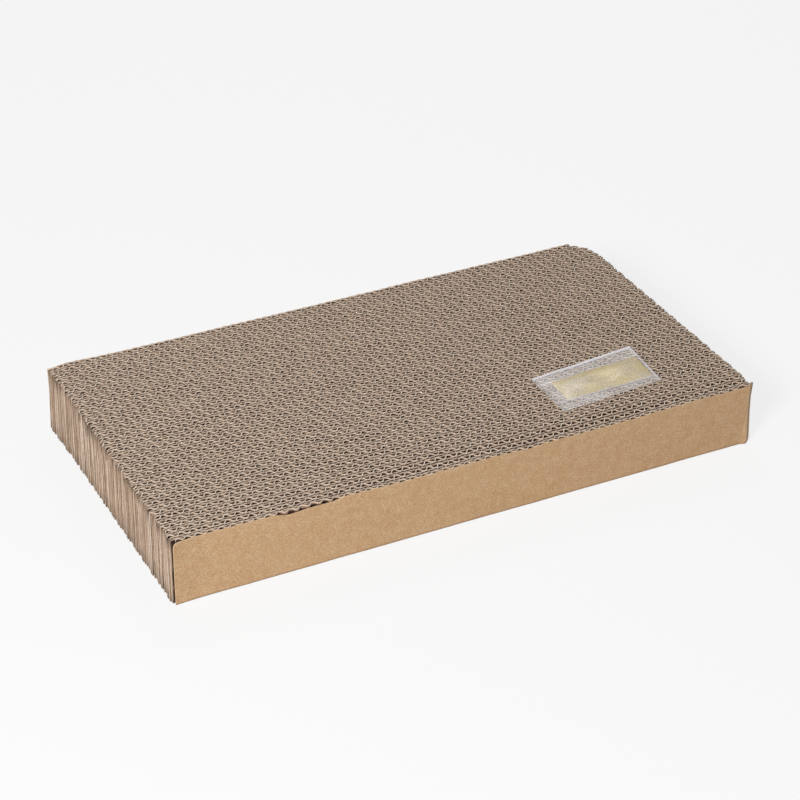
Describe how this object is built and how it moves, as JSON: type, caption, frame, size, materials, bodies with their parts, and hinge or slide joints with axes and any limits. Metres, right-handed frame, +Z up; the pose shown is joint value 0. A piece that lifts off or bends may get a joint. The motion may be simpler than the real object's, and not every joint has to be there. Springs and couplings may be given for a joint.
{
  "type": "cardboard cat scratcher",
  "caption": "Flat rectangular scratching pad of corrugated board strips on edge between kraft faces, with a loose clear sachet of catnip on top.",
  "frame": {"origin": "centre of the pad's underside, on the floor that it lies on", "axes": "+X along the strips, +Y across them from the front kraft face to the rear one, +Z up"},
  "size_m": [0.431, 0.2368, 0.0517],
  "materials": {
    "kraft": "matte brown kraft paper",
    "board": "matte grey-brown recycled paper",
    "film": "clear glossy film",
    "catnip": "fine dry ground leaf"
  },
  "bodies": {
    "pad": {"front_kraft_face": "kraft", "rear_kraft_face": "kraft", "strip_01": "board", "strip_02": "board", "strip_03": "board", "strip_04": "board", "strip_05": "board", "strip_06": "board", "strip_07": "board", "strip_08": "board", "strip_09": "board", "strip_10": "board", "strip_11": "board", "strip_12": "board", "strip_13": "board", "strip_14": "board", "strip_15": "board", "strip_16": "board", "strip_17": "board", "strip_18": "board", "strip_19": "board", "strip_20": "board", "strip_21": "board", "strip_22": "board", "strip_23": "board", "strip_24": "board", "strip_25": "board", "strip_26": "board", "strip_27": "board", "strip_28": "board", "strip_29": "board", "strip_30": "board", "strip_31": "board", "strip_32": "board", "strip_33": "board", "strip_34": "board", "strip_35": "board", "strip_36": "board", "strip_37": "board", "strip_38": "board", "strip_39": "board", "strip_40": "board", "strip_41": "board", "strip_42": "board"},
    "sachet": {"sachet_front_film": "film", "sachet_back_film": "film", "catnip_fill": "catnip"}
  },
  "joints": [
    {"name": "sachet_lift", "type": "slide", "parent": "pad", "child": "sachet", "axis": [0, 0, 1], "range_m": [0, 0.06]}
  ]
}
